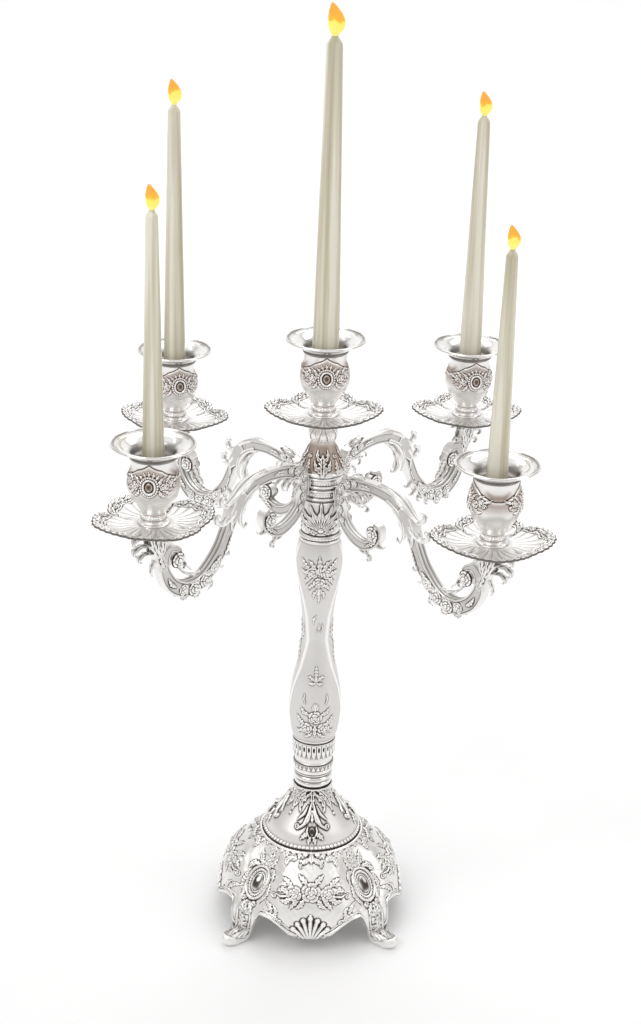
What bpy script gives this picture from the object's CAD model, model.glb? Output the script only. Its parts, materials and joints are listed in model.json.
import math

import bpy
import numpy as np
from mathutils import Matrix, Vector
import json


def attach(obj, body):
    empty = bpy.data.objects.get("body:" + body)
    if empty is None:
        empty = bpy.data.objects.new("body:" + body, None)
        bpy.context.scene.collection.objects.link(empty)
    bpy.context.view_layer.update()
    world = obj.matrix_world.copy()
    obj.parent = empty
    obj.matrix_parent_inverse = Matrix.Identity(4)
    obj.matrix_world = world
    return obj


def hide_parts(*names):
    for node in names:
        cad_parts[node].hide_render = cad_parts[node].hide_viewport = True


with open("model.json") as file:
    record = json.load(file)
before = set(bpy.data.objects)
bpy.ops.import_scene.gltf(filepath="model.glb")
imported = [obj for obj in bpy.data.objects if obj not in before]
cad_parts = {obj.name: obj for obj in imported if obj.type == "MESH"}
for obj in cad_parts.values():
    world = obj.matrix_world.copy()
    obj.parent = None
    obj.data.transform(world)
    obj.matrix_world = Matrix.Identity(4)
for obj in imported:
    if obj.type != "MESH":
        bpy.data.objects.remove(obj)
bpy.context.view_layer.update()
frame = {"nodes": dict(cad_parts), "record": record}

MM = 0.001
LIGHTS = ["centre", "back_right", "back_left", "front_left", "front_right"]
PAIR_OF = {"back_right": "upper", "back_left": "lower", "front_left": "upper", "front_right": "lower"}
# heights of the parts' feet above the table, in mm
LEDGE_Z, RINGS_Z, FLUTES_Z, SHAFT_Z = 74.0, 118, 134.5, 161.5
CAPITAL_Z, NECK_Z, CENTRE_PAN_Z = 342, 396.5, 442.0
HUB_Z = {"lower": 376.5, "upper": 386.5}
# how far out the side lights stand, and how high their pans sit over the branch's ring
REACH, SEAT_H = 173.0, 14.0
FRONT = -math.pi / 2
DOWN, UP = -math.pi / 2, math.pi / 2
FRONT_AND_BACK, SIDES = (FRONT, -FRONT), (0.0, math.pi)
QUARTERS = [FRONT + k * math.pi / 2 for k in range(4)]
CORNERS = [a + math.pi / 4 for a in QUARTERS]


# ---- curves

def smooth(points, steps=6):
    """A Catmull-Rom curve through the points."""
    p = np.array(points, float)
    pad = np.vstack([p[0], p, p[-1]])
    out = []
    for i in range(len(p) - 1):
        a, b, c, d = pad[i:i + 4]
        for k in range(steps):
            t = k / steps
            out.append(0.5 * (2 * b + (c - a) * t + (2 * a - 5 * b + 4 * c - d) * t * t
                              + (3 * b - 3 * c + d - a) * t ** 3))
    out.append(p[-1])
    return np.array(out)


def ease(x, a, b):
    """0 up to a, 1 from b on, and a soft step between."""
    u = np.clip((np.asarray(x, float) - a) / (b - a), 0, 1)
    return u * u * (3 - 2 * u)


def length_of(points):
    p = np.asarray(points, float)
    return float(np.hypot(*np.diff(p[:, :2], axis=0).T).sum())


def resample(points, n):
    """The same curve with n points evenly spaced along it; further columns go along."""
    p = np.asarray(points, float)
    step = np.r_[0, np.cumsum(np.hypot(*np.diff(p[:, :2], axis=0).T))]
    keep = np.r_[True, np.diff(step) > 1e-9]
    step, p = step[keep], p[keep]
    at = np.linspace(0, step[-1], n)
    return np.stack([np.interp(at, step, p[:, k]) for k in range(p.shape[1])], 1)


def pairs(row, w=1):
    """A path from a row x, y, x, y ..., mirrored across where w is -1."""
    return [(w * x, y) for x, y in zip(row[::2], row[1::2])]


# ---- relief, heights in mm

def bump(d, w):
    """A round ridge of half width w, 1 on its line and 0 beside it."""
    return np.sqrt(np.clip(1 - (d / w) ** 2, 0, 1))


def stripe(d, w):
    """A soft line, 1 where d is 0."""
    return np.exp(-(d / w) ** 2)


def along(x, y, path):
    """How far along a path points lie, as a share of its length, and their signed distance from it."""
    seg = np.diff(path, axis=0)
    ln = np.hypot(seg[:, 0], seg[:, 1])
    start = np.r_[0, np.cumsum(ln)]
    best = np.full(x.shape, 1e9)
    t, side = np.zeros(x.shape), np.zeros(x.shape)
    for i in range(len(seg)):
        ux, uy = seg[i] / ln[i]
        dx, dy = x - path[i, 0], y - path[i, 1]
        s = np.clip(dx * ux + dy * uy, 0, ln[i])
        d2 = (dx - s * ux) ** 2 + (dy - s * uy) ** 2
        near = d2 < best
        best = np.where(near, d2, best)
        t = np.where(near, (start[i] + s) / start[-1], t)
        side = np.where(near, np.sign(dy * ux - dx * uy), side)
    return t, side * np.sqrt(best)


# rings of a rose's petals: reach, count, turn as a share of a petal, height of their foot
PETALS = ((1.0, 5, 0.0, 0.22), (0.62, 3, 0.4, 0.55), (0.28, 1, 0.2, 0.80))


class Relief:
    """A height field over surface coordinates x, y in mm. Ornament lies over what is under it."""

    def __init__(self, x, y):
        self.x, self.y = x, y
        self.h = np.zeros(x.shape)

    def lay(self, cx, cy, r, draw):
        """Draws on the points within r of the centre across and up."""
        m = (np.abs(self.x - cx) < r) & (np.abs(self.y - cy) < r)
        if m.any():
            self.h[m] = np.maximum(self.h[m], draw(self.x[m], self.y[m]))

    def lay_along(self, path, margin, draw):
        c = (path.min(0) + path.max(0)) / 2
        reach = np.ptp(path, axis=0).max() / 2 + margin
        self.lay(c[0], c[1], reach, lambda x, y: draw(*along(x, y, path)))

    def rose(self, cx, cy, r, high, turn=0.0):
        """Five outer petals, three inner ones and a bud."""
        def draw(x, y):
            dx, dy = x - cx, y - cy
            d, a = np.hypot(dx, dy) / r, np.arctan2(dy, dx) + turn
            h = np.zeros(d.shape)
            for reach, petals, offset, base in PETALS:
                p = 2 * ((a * petals / (2 * np.pi) + offset) % 1) - 1
                q = np.clip(d / (reach * (0.78 + 0.22 * np.sqrt(1 - p ** 2))), 0, 1)
                cleft = 1 - 0.55 * stripe((1 - np.abs(p)) * petals ** -0.5, 0.10) * q
                h = np.maximum(h, (base + 0.34 * q * q) * np.sqrt(1 - q ** 8) * cleft)
            return high * h
        self.lay(cx, cy, 1.1 * r, draw)

    def bud(self, cx, cy, r, aim):
        def draw(x, y):
            c, s = math.cos(aim), math.sin(aim)
            u = ((x - cx) * c + (y - cy) * s) / (1.35 * r)
            v = ((y - cy) * c - (x - cx) * s) / r
            dome = np.sqrt(np.clip(1 - u * u - v * v, 0, 1))
            return 0.42 * r * dome * (0.75 + 0.25 * np.cos(3.2 * v * (2 - u)))
        self.lay(cx, cy, 1.5 * r, draw)

    def leaf(self, path, width, high, lobes):
        """A leaf along a curved path, with a midrib, slanting veins and a lobed edge."""
        def draw(t, d):
            w = width * np.sin(np.pi * np.clip(t * 0.93 + 0.06, 0, 1) ** 0.75) ** 0.8
            w = w * (0.78 + 0.22 * np.cos(2 * np.pi * lobes * t + 0.6)) + 0.02
            q = np.abs(d) / w
            body = np.clip(1 - q ** 2.4, 0, 1) ** 0.6
            rib = 0.32 * stripe(d, 0.13 * width)
            vein = 0.16 * np.cos(2 * np.pi * (lobes * t - 0.9 * q)) * np.clip(q * 3, 0, 1)
            h = high * body * (0.72 - rib + vein)
            past = (t <= 0) | (t >= 1)
            h[past] *= (q[past] < 1) * 0.6
            return h
        self.lay_along(resample(path, 14), 1.3 * width, draw)

    def line(self, path, width, high, taper=True):
        def draw(t, d):
            w = width * (np.sin(np.pi * (0.12 + 0.8 * t)) if taper else 1.0)
            return high * bump(d, np.maximum(w, 1e-3))
        self.lay_along(resample(path, max(12, int(length_of(path) / 0.8))), 2 * width, draw)

    def curl(self, cx, cy, r, start, way, high):
        """A small volute that winds in to a bead."""
        turns = 1.25
        a = np.linspace(0, 2 * np.pi * turns, int(26 * turns))
        rr = r * (1 - 0.78 * a / a[-1])
        path = np.stack([cx + rr * np.cos(start + way * a), cy + rr * np.sin(start + way * a)], 1)
        self.line(path, 0.24 * r, high)
        self.bead(cx, cy, 0.26 * r, high)

    def bead(self, cx, cy, r, high):
        self.lay(cx, cy, r, lambda x, y: high * bump(np.hypot(x - cx, y - cy), r))

    def oval(self, cx, cy, a, b, ring, high, beads=0):
        """A raised oval ring, plain or cut into beads."""
        def draw(x, y):
            u, v = (x - cx) / a, (y - cy) / b
            ang = np.arctan2(v, u)
            d = (np.hypot(u, v) - 1) * np.hypot(a * np.cos(ang), b * np.sin(ang))
            h = high * bump(d, ring)
            return h * (0.35 + 0.65 * np.abs(np.sin(0.5 * beads * ang))) if beads else h
        self.lay(cx, cy, max(a, b) + 2 * ring, draw)

    def cabochon(self, cx, cy, a, b, high):
        self.lay(cx, cy, max(a, b), lambda x, y: high * np.sqrt(
            np.clip(1 - (((x - cx) / a) ** 2 + ((y - cy) / b) ** 2), 0, 1)))

    def motifs(self, w=1, leaves=(), roses=(), curls=(), lines=(), buds=(), beads=()):
        """Draws rows of ornament, mirrored where w is -1. A leaf's row is its path as x, y, x, y ..., then
        half width, height and lobes; a line's is its path, half width and height."""
        for *path, width, high, lobes in leaves:
            self.leaf(pairs(path, w), width, high, lobes)
        for x, y, r, high, turn in roses:
            self.rose(w * x, y, r, high, w * turn)
        for x, y, r, start, way, high in curls:
            self.curl(w * x, y, r, start, w * way, high)
        for *path, width, high in lines:
            self.line(pairs(path, w), width, high)
        for x, y, r, aim in buds:
            self.bud(w * x, y, r, aim if w > 0 else math.pi - aim)
        for x, y, r, high in beads:
            self.bead(w * x, y, r, high)

    def both(self, **rows):
        """Draws the same rows on both sides of the middle."""
        for w in (-1, 1):
            self.motifs(w, **rows)


# ---- grids and meshes

def soften(h, times):
    for _ in range(times):
        for axis in (0, 1):
            h = (np.roll(h, 1, axis) + np.roll(h, -1, axis) + 2 * h) / 4
    return h


def hammered(x, y, height, wave):
    """The slight waviness of a cast and hand-finished wall."""
    k = 2 * np.pi / wave
    slow = np.sin(k * x + 1.4 * np.sin(0.63 * k * y)) * np.sin(0.87 * k * y + 1.2 * np.sin(0.55 * k * x))
    return height * (slow + 0.5 * np.sin(1.9 * k * x - 1.3 * k * y))


def cavity(h, reach, gain):
    """Up to 1 in the grooves of a relief, 0 on its plain parts and down to -1 on its high parts."""
    return np.clip((soften(h, reach) - h) * gain, -1, 1)


def grid_normals(p):
    """Normals of a grid that closes on itself both ways."""
    du = np.roll(p, -1, 0) - np.roll(p, 1, 0)
    dv = np.roll(p, -1, 1) - np.roll(p, 1, 1)
    n = np.cross(du, dv)
    return n / np.maximum(np.linalg.norm(n, axis=2, keepdims=True), 1e-9)


def grid_faces(n, m, wrap_u, wrap_v):
    i = np.arange(n if wrap_u else n - 1)[:, None]
    j = np.arange(m if wrap_v else m - 1)[None]
    a = i * m + j
    b = ((i + 1) % n) * m + j
    c = ((i + 1) % n) * m + (j + 1) % m
    d = i * m + (j + 1) % m
    return np.stack([a, b, c, d], 2).reshape(-1, 4)


def angles_round(n):
    return np.arange(n) * 2 * np.pi / n


def turned(r, z, a):
    """Grid points from distances and heights, one row for each angle."""
    c, s = np.cos(a)[:, None], np.sin(a)[:, None]
    return np.stack([r * c, r * s, np.broadcast_to(z, np.broadcast_shapes(r.shape, c.shape))], 2)


class Part:
    """Grids that are gathered into one mesh; coordinates in mm."""

    def __init__(self):
        self.points, self.faces, self.cav, self.count = [], [], [], 0

    def grid(self, p, wrap_u=True, wrap_v=True, cav=None, flip=False):
        n, m = p.shape[:2]
        f = grid_faces(n, m, wrap_u, wrap_v)
        self.raw(p.reshape(-1, 3), f[:, ::-1] if flip else f, None if cav is None else cav.reshape(-1))

    def raw(self, points, faces, cav=None):
        self.points.append(points)
        self.faces.append(faces + self.count)
        self.cav.append(np.zeros(len(points)) if cav is None else cav)
        self.count += len(points)

    def build(self, name, material, body, turn=0.0, shift=(0, 0, 0), slot="silver_plate"):
        """Makes the piece that stands for the CAD node of the same name, turned and moved into place."""
        p = np.concatenate(self.points)
        c, s = math.cos(turn), math.sin(turn)
        p = np.stack([p[:, 0] * c - p[:, 1] * s + shift[0], p[:, 0] * s + p[:, 1] * c + shift[1],
                      p[:, 2] + shift[2]], 1)
        f = np.concatenate(self.faces)
        mesh = bpy.data.meshes.new("Visual_" + name)
        mesh.vertices.add(len(p))
        mesh.vertices.foreach_set("co", (p * MM).astype(np.float32).ravel())
        mesh.loops.add(f.size)
        mesh.loops.foreach_set("vertex_index", f.astype(np.int32).ravel())
        mesh.polygons.add(len(f))
        mesh.polygons.foreach_set("loop_start", np.arange(0, f.size, 4, dtype=np.int32))
        mesh.polygons.foreach_set("use_smooth", np.ones(len(f), bool))
        attr = mesh.attributes.new("cav", "FLOAT", "POINT")
        attr.data.foreach_set("value", np.concatenate(self.cav).astype(np.float32))
        mesh.update(calc_edges=True)
        mesh.validate()
        mesh.materials.append(material)
        obj = bpy.data.objects.new("Visual_" + name, mesh)
        bpy.context.scene.collection.objects.link(obj)
        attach(obj, body)
        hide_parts(name)


def revolved(outer, inner, relief, columns, step, reach=10, gain=3.2):
    """Turns a closed outline round the axis. The relief draws on the outer line, with x across from a
    chosen direction and y along the outline, both in mm."""
    line = resample(outer, max(8, int(length_of(outer) / step)))
    n_out = len(line)
    r, z = np.vstack([line, inner]).T
    a = -math.pi + (np.arange(columns) + 0.5) * 2 * math.pi / columns
    s = np.r_[0, np.cumsum(np.hypot(np.diff(r[:n_out]), np.diff(z[:n_out])))]
    field = Relief(a[:, None] * r[None, :n_out], np.repeat(s[None], columns, 0))
    field.a = np.repeat(a[:, None], n_out, 1)
    field.r = np.repeat(r[None, :n_out], columns, 0)
    field.z = np.repeat(z[None, :n_out], columns, 0)
    field.shade = np.zeros(field.a.shape)
    relief(field)
    h = np.zeros((columns, len(r)))
    shade = np.zeros((columns, len(r)))
    h[:, :n_out] = field.h
    shade[:, :n_out] = field.shade
    h[:, 0] = h[:, n_out - 1] = 0
    dr, dz = np.gradient(r), np.gradient(z)
    ln = np.maximum(np.hypot(dr, dz), 1e-9)
    part = Part()
    part.grid(turned(r[None] + (dz / ln)[None] * h, z[None] + (-dr / ln)[None] * h, a),
              cav=cavity(h, reach, gain) + shade)
    return part


# ---- materials

class Nodes:
    """Short ways to add and wire nodes."""

    def __init__(self, tree):
        self.tree = tree

    def add(self, kind, **values):
        n = self.tree.nodes.new("ShaderNode" + kind)
        for key, value in values.items():
            if key in n.inputs:
                n.inputs[key].default_value = value
            else:
                setattr(n, key, value)
        return n

    def feed(self, socket, value):
        """Links another node's output to a socket, or sets a plain value on it."""
        if isinstance(value, bpy.types.NodeSocket):
            self.tree.links.new(value, socket)
        else:
            socket.default_value = value

    def ramp(self, source, *stops):
        """Stops are a position and a grey, or a position and red, green and blue."""
        r = self.add("ValToRGB")
        e = r.color_ramp.elements
        stops = [(pos, (*c, 1) if len(c) == 3 else (c[0], c[0], c[0], 1)) for pos, *c in stops]
        e[0].position, e[0].color = stops[0]
        e[1].position, e[1].color = stops[-1]
        for pos, colour in stops[1:-1]:
            e.new(pos).color = colour
        self.feed(r.inputs["Fac"], source)
        return r.outputs["Color"]

    def mapped(self, *scale):
        m = self.add("Mapping", Scale=scale)
        self.feed(m.inputs["Vector"], self.add("TexCoord").outputs["Object"])
        return m.outputs["Vector"]

    def height(self):
        """How high a point lies in the object's own box, from 0 to 1."""
        s = self.add("SeparateXYZ")
        self.feed(s.inputs[0], self.add("TexCoord").outputs["Generated"])
        return s.outputs["Z"]

    def noise(self, where, scale, detail, rough):
        n = self.add("TexNoise", Scale=scale, Detail=detail, Roughness=rough)
        self.feed(n.inputs["Vector"], where)
        return n.outputs["Fac"]

    def mix(self, fac, a, b):
        m = self.add("Mix", data_type="RGBA")
        for key, value in ((0, fac), (6, a), (7, b)):
            self.feed(m.inputs[key], value)
        return m.outputs[2]

    def math(self, op, a, b, c=0.0, clamp=False):
        m = self.add("Math", operation=op, use_clamp=clamp)
        for k, value in enumerate((a, b, c)):
            self.feed(m.inputs[k], value)
        return m.outputs[0]

    def bumps(self, source, strength, distance):
        b = self.add("Bump", Strength=strength, Distance=distance)
        self.feed(b.inputs["Height"], source)
        return b.outputs["Normal"]


class Look(Nodes):
    """A material with one Principled shader; an underscore in a socket's name stands for its space."""

    def __init__(self, name):
        self.material = bpy.data.materials.new(name)
        self.material.use_nodes = True
        super().__init__(self.material.node_tree)

    def wear(self, **values):
        for key, value in values.items():
            self.feed(self.tree.nodes["Principled BSDF"].inputs[key.replace("_", " ")], value)
        return self.material


def silver(name, tarnish, shine, tone=(0.50, 0.485, 0.475, 1)):
    """Silver plate: satin on the plain parts, polished on the high parts, toned and then dark in the
    grooves. The mesh says how deep each point lies, from -1 to 1, in its attribute cav."""
    k = Look(name)
    where = k.mapped(1, 1, 1)
    cav = k.add("Attribute", attribute_name="cav").outputs["Fac"]
    groove = k.math("MULTIPLY", cav, tarnish, clamp=True)
    high = k.math("MULTIPLY", cav, -1.0, clamp=True)
    cloud, fine = k.noise(where, 38, 5, 0.6), k.noise(where, 900, 3, 0.6)
    clean = k.ramp(cloud, (0.30, 0.84, 0.828, 0.81), (0.72, 0.92, 0.912, 0.90))
    dark = k.ramp(fine, (0.2, 0.03, 0.022, 0.016), (0.8, 0.115, 0.09, 0.07))
    plate = k.mix(k.math("MULTIPLY", high, 0.8), clean, (0.985, 0.98, 0.97, 1))
    toned = k.mix(k.math("MULTIPLY", groove, 2.0, clamp=True), plate, tone)
    deep = k.math("MULTIPLY_ADD", groove, 2.0, -1.0, clamp=True)
    dull = k.math("MULTIPLY_ADD", groove, 0.30, k.math("MULTIPLY_ADD", cloud, 0.12, shine))
    rough = k.math("SUBTRACT", dull, k.math("MULTIPLY", high, 0.7 * shine), clamp=True)
    return k.wear(Metallic=1.0, Base_Color=k.mix(deep, toned, dark), Roughness=rough,
                  Normal=k.bumps(fine, 0.12, 0.00012))


def clouded(name, low, high, scale, rough_low, rough_high, edges=(0.25, 0.75), stretch=1, detail=4,
            **more):
    """A plain material whose colour and gloss drift a little."""
    k = Look(name)
    n = k.noise(k.mapped(1, 1, stretch), scale, detail, 0.6)
    return k.wear(Base_Color=k.ramp(n, (edges[0], *low), (edges[1], *high)),
                  Roughness=k.ramp(n, (0.2, rough_low), (0.8, rough_high)), **more)


def wax():
    """Pearl ivory: faint upright streaks under a soft lustre."""
    k = Look("pearl_wax")
    streak = k.noise(k.mapped(1, 1, 0.012), 150, 3, 0.5)
    cloud = k.noise(k.mapped(1, 1, 0.4), 30, 4, 0.6)
    base = k.ramp(streak, (0.36, 0.44, 0.405, 0.275), (0.48, 0.59, 0.555, 0.415),
                  (0.60, 0.78, 0.755, 0.64))
    return k.wear(Base_Color=k.mix(k.math("MULTIPLY", cloud, 0.12), base, (0.82, 0.80, 0.72, 1)),
                  Roughness=k.ramp(cloud, (0.2, 0.26), (0.8, 0.40)), Normal=k.bumps(cloud, 0.08, 0.0003),
                  Subsurface_Weight=0.12, Subsurface_Radius=(0.004, 0.003, 0.002), Subsurface_Scale=0.5,
                  Coat_Weight=0.35, Coat_Roughness=0.22)


def flame():
    """Moulded flame: clear yellow below, orange above, lit from inside."""
    k = Look("flame_plastic")
    wave = k.noise(k.mapped(1, 1, 0.5), 130, 2, 0.5)
    colour = k.ramp(k.math("MULTIPLY_ADD", wave, 0.55, k.height()), (0.40, 0.86, 0.77, 0.20),
                    (0.74, 0.86, 0.70, 0.13), (0.80, 1.0, 0.44, 0.04), (0.98, 1.0, 0.36, 0.05))
    return k.wear(Base_Color=colour, Emission_Color=colour, Emission_Strength=0.30, Roughness=0.42,
                  Specular_IOR_Level=0.2, Subsurface_Weight=0.2, Subsurface_Scale=0.005)


SILVER = silver("silver_plate", 1.0, 0.27)
BRIGHT = silver("silver_plate_bright", 0.8, 0.06)
SATIN = silver("silver_plate_satin", 1.0, 0.38)
TONED = silver("silver_plate_toned", 1.0, 0.25, (0.44, 0.35, 0.30, 1))
WAX, FLAME = wax(), flame()
SLOT_MATERIALS = {
    "silver_plate": SILVER, "pearl_wax": WAX, "flame_plastic": FLAME,
    "zinc_steel": clouded("zinc_steel", (0.42, 0.42, 0.43), (0.66, 0.66, 0.65), 60, 0.28, 0.48,
                          edges=(0.3, 0.7), stretch=14, detail=5, Metallic=1.0),
    "cell_jacket": clouded("cell_jacket", (0.10, 0.11, 0.13), (0.16, 0.17, 0.20), 40, 0.3, 0.45),
    "circuit_board": clouded("circuit_board", (0.03, 0.16, 0.07), (0.05, 0.24, 0.10), 200, 0.4, 0.55),
    "cap_plastic": clouded("cap_plastic", (0.60, 0.57, 0.47), (0.68, 0.65, 0.56), 90, 0.42, 0.57)}
for sub in frame["record"]["subparts"]:
    slots = frame["nodes"][sub["node"]].data.materials
    slots.clear()
    slots.append(SLOT_MATERIALS[sub["material_slot"]])


# ---- column

def facing(field, angles):
    """The field with x measured from each of some directions round the axis, aside being its angle."""
    for angle in angles:
        field.aside = (field.a - angle + np.pi) % (2 * np.pi) - np.pi
        field.x = field.aside * field.r
        yield field


def ring_of_beads(field, y, count, r, high):
    k = field.a * count / (2 * np.pi)
    dx = (k - np.round(k)) * 2 * np.pi / count * field.r
    d = np.hypot(dx, field.y - y)
    field.h = np.maximum(field.h, high * bump(d, r))


def repeats(field, count):
    """0 on the middles of equal divisions of the round and 1 where they meet."""
    k = field.a * count / (2 * np.pi)
    return np.abs(k - np.floor(k) - 0.5) * 2


def score(field, where, lines, width=0.5, depth=0.85):
    """Cuts dark lines into a turned part at some heights."""
    for at in lines:
        cut = stripe(where - at, width)
        field.h -= 0.4 * cut
        field.shade += depth * cut


def oval_patch(x, y, a, b):
    """1 inside a soft-cornered oval."""
    return np.exp(-(x / a) ** 4 - (y / b) ** 4)


def add_turned(name, body, outer, inner, relief, foot, columns, step, material=SILVER, **sharpness):
    outer, inner = np.array(outer, float), np.array(inner, float)
    outer[:, 1] += foot
    inner[:, 1] += foot
    revolved(outer, inner, relief, columns, step, **sharpness).build(name, material, body)


def dome_relief(field):
    ring_of_beads(field, 3.0, 72, 1.4, 1.0)
    for f in facing(field, QUARTERS):
        # a crown of leaves at the top and two pairs of strands that open down the dome
        f.motifs(leaves=[(0, 59, 0, 50, 0, 36, 3.0, 2.4, 4), (0, 34, 0, 28, 0, 22, 1.6, 1.9, 3)])
        f.both(leaves=[(2.4, 58, 5, 52, 10.5, 45, 13.6, 37, 3.2, 2.1, 4),
                       (3, 47, 8, 42, 10.6, 36, 9.6, 31.5, 2.3, 1.9, 3),
                       (3.4, 15, 6.6, 13, 9.6, 9.4, 2.2, 1.9, 3),
                       (1.2, 12, 2.6, 8.6, 2.8, 5.6, 1.6, 1.7, 2)],
               lines=[(0.8, 40, 2.6, 31, 6.8, 22, 12.4, 17.5, 1.5, 1.9),
                      (0.6, 34, 3.4, 25, 8.6, 19.5, 0.9, 1.5),
                      (3.4, 38, 6.6, 31, 12.4, 25, 1.1, 1.6), (3.4, 20.5, 4.2, 16, 2.4, 12, 0.9, 1.8)],
               curls=[(16.4, 44, 2.5, 0, 1, 1.5), (12.2, 19.8, 2.3, DOWN, 1, 1.6)],
               roses=[(10.4, 53, 4.0, 2.1, 1)])
        f.cabochon(0, 16.4, 2.8, 3.8, 1.2)
        f.shade += 1.4 * oval_patch(f.x, f.y - 16.4, 2.6, 3.6)
    for f in facing(field, CORNERS):
        f.motifs(leaves=[(0, 56, 0, 45, 0, 31, 3.6, 1.6, 5)], roses=[(0, 47, 3.2, 1.6, 0)])
        f.both(leaves=[(0, 45, 5, 39, 7, 32, 2.1, 1.3, 3)])
        f.bead(0, 28.5, 1.2, 1.2)
    field.shade += 0.10 + 0.16 * ease(field.z, 90, 112) - 0.4 * stripe(field.y - 3, 2.2)


def collar_relief(field):
    score(field, field.z - RINGS_Z, (0.8, 5.5, 10.5, 13.2), 0.55, 1.0)


def flute_relief(field):
    z = field.z - FLUTES_Z
    near = repeats(field, 26)
    # lotus band with a dark slot under each arch
    t = (z - 12.6) / 12.2
    inside = (t > 0) & (t < 1)
    width = np.sqrt(np.clip(t * 2.6, 0, 1)) * 0.92
    petal = np.sqrt(np.clip(1 - (near / np.maximum(width, 1e-3)) ** 2, 0, 1))
    field.h += inside * (0.75 * petal - 0.15)
    slot = np.clip(1 - (near / 0.46) ** 2 - ((t - 0.70) / 0.20) ** 2, 0, 1) ** 0.5
    field.h -= inside * 1.5 * slot
    field.shade += inside * (0.9 * slot + 0.45 * (1 - petal))
    # zigzag leaf tips
    s = z / 5.2
    tips = np.clip((1 - near - s + 0.1) * 3.5, 0, 1)
    band = (s > 0.05) & (s < 1)
    field.h += band * 0.6 * tips
    field.shade += 0.45 * band * (1 - tips)
    score(field, z, (0.4, 5.6, 12.3, 26.4))
    field.h += 0.35 * bump(z - 25.7, 0.8)


def panel_edge(z):
    """Half the angle of the front panel at height z above the shaft's foot."""
    return np.radians(np.interp(z, [0, 10, 28, 48, 68, 92, 112, 134, 150, 162, 174, 180.5],
                                [66, 74, 76, 68, 52, 38, 44, 58, 70, 76, 70, 62]))


def shaft_relief(field):
    z = field.z - SHAFT_Z
    for f in facing(field, FRONT_AND_BACK):
        off = (np.abs(f.aside) - panel_edge(z)) * f.r
        live = ease(z, 2.0, 6) * (1 - ease(z, 173, 178))
        f.h = np.maximum(f.h, live * 0.7 * bump(off, 1.1))
        f.shade -= 0.8 * live * bump(off, 1.8)
        # upper spray: two roses under a crown of leaves, one below, a bud at the point
        f.both(leaves=[(8, 159, 12, 163, 15.5, 167.5, 2.4, 1.5, 4),
                       (8.5, 156, 12.5, 156, 15.5, 158.5, 2.1, 1.5, 3),
                       (3, 160, 6.5, 165, 9.5, 167, 2.0, 1.5, 3),
                       (7, 152, 10.5, 149.5, 11.5, 145, 2.1, 1.5, 3),
                       (3.6, 146, 6.8, 144, 8.6, 140, 1.8, 1.4, 3),
                       (1.6, 140, 4.0, 137, 4.2, 132.5, 1.5, 1.3, 3)],
               roses=[(5.6, 156.5, 4.9, 2.5, 1)])
        f.motifs(leaves=[(0, 156, 0.3, 163, 0, 171, 2.6, 1.7, 4),
                         (0, 137, 0.3, 133, 0, 128.5, 1.3, 1.2, 3),
                         # two small leaves at the waist
                         (-1.2, 116, -3.2, 113, -3.4, 108.5, 1.1, 1.0, 2),
                         (1.0, 108.5, 1.4, 104.5, -1.6, 101.5, 1.0, 1.0, 2),
                         # lower spray: a sprig, two bent leaves, then three roses
                         (0, 62, 0, 67, 0, 73, 1.7, 1.4, 4), (0, 20, 0, 14.5, 0, 8, 2.0, 1.4, 3)],
                 roses=[(0, 147.5, 5.0, 2.6, 0), (0, 27.5, 5.8, 2.8, 0.6)],
                 buds=[(0, 139, 2.6, DOWN), (0, 61, 1.9, UP), (0, 36.5, 2.6, UP)],
                 lines=[(3.4, 109, 4.2, 105, 2.2, 101.6, 0.5, 0.8)])
        f.both(leaves=[(1.5, 60, 4.6, 62.5, 7.4, 62, 1.5, 1.2, 3),
                       (1.2, 57.5, 3.6, 56.6, 6.4, 58, 1.3, 1.2, 3),
                       (5.4, 30, 9.4, 31.5, 12.4, 36, 2.1, 1.5, 4),
                       (9.2, 21, 13, 23.5, 16, 28.5, 2.3, 1.5, 4),
                       (9.6, 15, 13.5, 13, 16.5, 14.5, 2.0, 1.4, 3),
                       (2.6, 12.5, 5.6, 9, 9.6, 8.5, 1.7, 1.3, 3)],
               lines=[(8.4, 39, 9.8, 43, 9.2, 48, 0.6, 0.9)], roses=[(7.2, 17, 5.2, 2.5, 2)])
    for f in facing(field, SIDES):
        f.motifs(leaves=[(0, 84, 0, 96, 0, 110, 3.2, 1.2, 6)], roses=[(0, 87, 3.0, 1.5, 0)])
        f.both(leaves=[(0, 90, 5, 97, 6, 106, 1.8, 1.0, 4), (0, 84, 4, 78, 4.4, 70, 1.6, 0.9, 4)])
    field.h += 0.4 * bump(z - 1.2, 1.0) + 0.4 * bump(z - 179.2, 1.0)
    field.shade += 0.21


def capital_relief(field):
    z = field.z - CAPITAL_Z
    for f in facing(field, FRONT_AND_BACK):
        for k in range(-3, 4):
            aim = math.pi / 2 - 0.36 * k
            long = 25 - 1.3 * abs(k)
            path = [(d * long * math.cos(aim) + 0.9 * k * d * d, 10 + d * long * math.sin(aim))
                    for d in (0.12, 0.55, 1)]
            f.leaf(path, 2.9 - 0.15 * abs(k), 2.5, lobes=2)
        f.bead(0, 11, 2.6, 2.4)
        f.both(leaves=[(3, 9, 9, 9, 16, 13, 2.6, 1.8, 4), (16, 15, 19, 21, 19.5, 29, 2.4, 1.6, 4)],
               curls=[(5.2, 9.0, 2.2, 0, 1, 1.8)])
    for f in facing(field, SIDES):
        f.motifs(leaves=[(0, 8, 0, 18, 0, 31, 4.6, 1.7, 6)])
    ring_of_beads(field, 2.4, 40, 0.9, 0.5)
    score(field, z, (0.5, 4.7, 33.8))
    for f in facing(field, FRONT_AND_BACK):
        f.shade += 0.3 * oval_patch(f.x, f.y - 22, 17, 13)


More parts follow.
